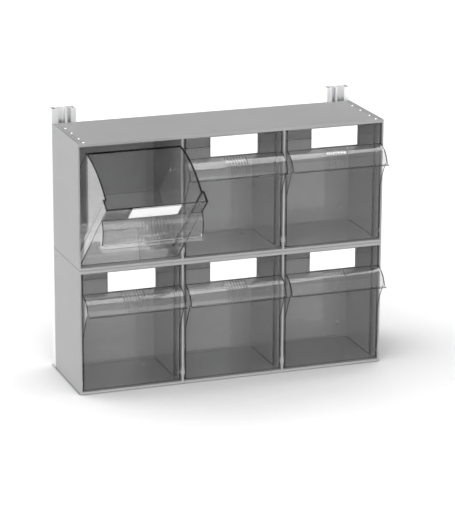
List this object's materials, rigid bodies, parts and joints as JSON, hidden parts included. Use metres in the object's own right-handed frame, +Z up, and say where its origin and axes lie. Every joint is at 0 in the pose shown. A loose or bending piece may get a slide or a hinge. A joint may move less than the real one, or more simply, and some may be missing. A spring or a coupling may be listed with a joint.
{
  "type": "tilt-out storage bin unit",
  "caption": "Grey two-storey storage rack on wall uprights, with clear tilt-out bins that hinge forward at their foot, each with a curved finger lip and a label card.",
  "frame": {"origin": "centre of the lower housing's footprint, on the surface it stands on", "axes": "+X to the right along the unit's width, +Y from the bin fronts to the back, +Z up"},
  "size_m": [0.6, 0.3448, 0.507],
  "materials": {
    "housing": "light grey moulded plastic, fine satin",
    "clear_bin": "crystal clear, polished",
    "clear_cover": "crystal clear, polished",
    "card": "bare white card",
    "upright": "satin anodised extrusion",
    "pins": "bright",
    "fixings": "zinc plated"
  },
  "bodies": {
    "rack": {"housing_lower": "housing", "housing_upper": "housing", "upright_left": "upright", "upright_right": "upright", "locating_pins_lower": "pins", "locating_pins_upper": "pins", "fixing_screws": "fixings", "fixing_washers": "fixings", "slot_nuts": "fixings"},
    "bottom_left_bin": {"bin_bottom_left": "clear_bin", "label_card_bottom_left": "card", "label_cover_bottom_left": "clear_cover"},
    "bottom_middle_bin": {"bin_bottom_middle": "clear_bin", "label_card_bottom_middle": "card", "label_cover_bottom_middle": "clear_cover"},
    "bottom_right_bin": {"bin_bottom_right": "clear_bin", "label_card_bottom_right": "card", "label_cover_bottom_right": "clear_cover"},
    "top_left_bin": {"bin_top_left": "clear_bin", "label_card_top_left": "card", "label_cover_top_left": "clear_cover"},
    "top_middle_bin": {"bin_top_middle": "clear_bin", "label_card_top_middle": "card", "label_cover_top_middle": "clear_cover"},
    "top_right_bin": {"bin_top_right": "clear_bin", "label_card_top_right": "card", "label_cover_top_right": "clear_cover"}
  },
  "joints": [
    {"name": "tilt_bottom_left", "type": "hinge", "parent": "rack", "child": "bottom_left_bin", "pos_m": [-0.2, -0.075, 0.022], "axis": [1, 0, 0], "range_deg": [0, 48.5]},
    {"name": "tilt_bottom_middle", "type": "hinge", "parent": "rack", "child": "bottom_middle_bin", "pos_m": [0, -0.075, 0.022], "axis": [1, 0, 0], "range_deg": [0, 48.5]},
    {"name": "tilt_bottom_right", "type": "hinge", "parent": "rack", "child": "bottom_right_bin", "pos_m": [0.2, -0.075, 0.022], "axis": [1, 0, 0], "range_deg": [0, 48.5]},
    {"name": "tilt_top_left", "type": "hinge", "parent": "rack", "child": "top_left_bin", "pos_m": [-0.2, -0.075, 0.262], "axis": [1, 0, 0], "range_deg": [-48.5, 0]},
    {"name": "tilt_top_middle", "type": "hinge", "parent": "rack", "child": "top_middle_bin", "pos_m": [0, -0.075, 0.262], "axis": [1, 0, 0], "range_deg": [0, 48.5]},
    {"name": "tilt_top_right", "type": "hinge", "parent": "rack", "child": "top_right_bin", "pos_m": [0.2, -0.075, 0.262], "axis": [1, 0, 0], "range_deg": [0, 48.5]}
  ]
}
